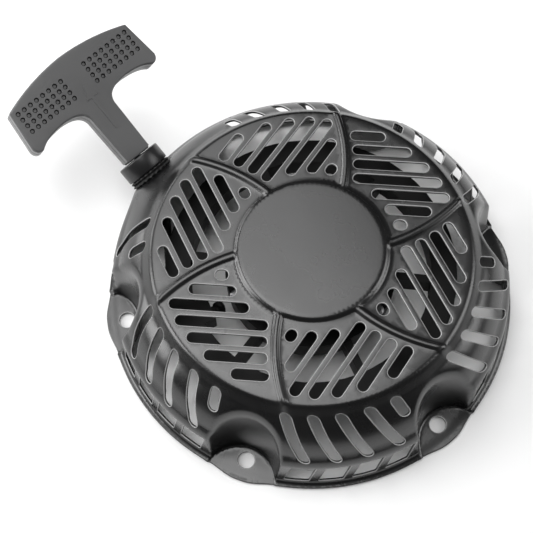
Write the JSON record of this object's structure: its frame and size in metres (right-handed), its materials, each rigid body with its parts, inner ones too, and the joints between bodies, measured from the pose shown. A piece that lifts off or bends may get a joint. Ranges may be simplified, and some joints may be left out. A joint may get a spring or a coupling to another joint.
{
  "type": "recoil starter",
  "caption": "Pull-start unit for a small engine: vented steel cover, rope reel with mainspring and pawls, and a T-shaped pull handle.",
  "frame": {"origin": "crankshaft axis in the mounting plane under the flange", "axes": "+Z away from the engine, +Y from the shaft towards the pull handle"},
  "size_m": [0.2298, 0.2961, 0.0759],
  "materials": {
    "painted_steel": "semi-gloss black enamel on pressed steel",
    "zinc_steel": "zinc plated, satin",
    "spring_steel": "oiled, blue-grey",
    "black_plastic": "satin moulded",
    "grip_plastic": "fine moulded grain",
    "reel_plastic": "satin moulded",
    "seal_rubber": "matte",
    "rope_braid": "braided polyester cord"
  },
  "bodies": {
    "housing": {"cover": "painted_steel", "rope_guide": "black_plastic", "guide_seal": "seal_rubber", "guide_clip": "spring_steel", "centre_post": "zinc_steel", "centre_screw": "zinc_steel", "thrust_washer": "zinc_steel", "friction_washer": "zinc_steel", "friction_spring": "spring_steel", "rope_run": "rope_braid"},
    "reel_body": {"reel": "reel_plastic", "spring_cover": "reel_plastic", "spring_cover_screw_1": "zinc_steel", "spring_cover_screw_2": "zinc_steel", "spring_cover_screw_3": "zinc_steel", "mainspring": "spring_steel", "rope_winding": "rope_braid", "rope_anchor": "rope_braid", "pawl_pin_a": "zinc_steel", "pawl_pin_b": "zinc_steel", "pawl_spring_a": "spring_steel", "pawl_spring_b": "spring_steel"},
    "guide_plate": {"ratchet_guide": "zinc_steel"},
    "pawl_one": {"pawl_a": "zinc_steel"},
    "pawl_two": {"pawl_b": "zinc_steel"},
    "handle": {"handle_grip": "grip_plastic", "handle_retainer": "zinc_steel", "handle_knot": "rope_braid"}
  },
  "joints": [
    {"name": "reel_spin", "type": "hinge", "parent": "housing", "child": "reel_body", "pos_m": [0, 0, 0.026], "axis": [0, 0, -1], "range_deg": [0, 630], "stiffness_Nm_per_rad": 0.12, "deforming": ["mainspring"]},
    {"name": "handle_pull", "type": "slide", "parent": "housing", "child": "handle", "axis": [-0.0631, 0.8807, 0.4695], "range_m": [0, 0.85], "deforming": ["rope_run"]},
    {"name": "guide_plate_lag", "type": "hinge", "parent": "reel_body", "child": "guide_plate", "pos_m": [0, 0, 0.0135], "axis": [0, 0, 1], "range_deg": [0, 20], "stiffness_Nm_per_rad": 0.01},
    {"name": "pawl_one_swing", "type": "hinge", "parent": "reel_body", "child": "pawl_one", "pos_m": [0.013, 0.02252, 0.017], "axis": [0, 0, 1], "range_deg": [0, 28], "deforming": ["pawl_spring_a"]},
    {"name": "pawl_two_swing", "type": "hinge", "parent": "reel_body", "child": "pawl_two", "pos_m": [-0.013, -0.02252, 0.017], "axis": [0, 0, 1], "range_deg": [0, 28], "deforming": ["pawl_spring_b"]}
  ],
  "couplings": [
    {"joint": "handle_pull", "follows": "reel_spin", "m_per_rad": 0.0773},
    {"joint": "pawl_one_swing", "follows": "guide_plate_lag", "ratio": 1.4},
    {"joint": "pawl_two_swing", "follows": "guide_plate_lag", "ratio": 1.4}
  ]
}
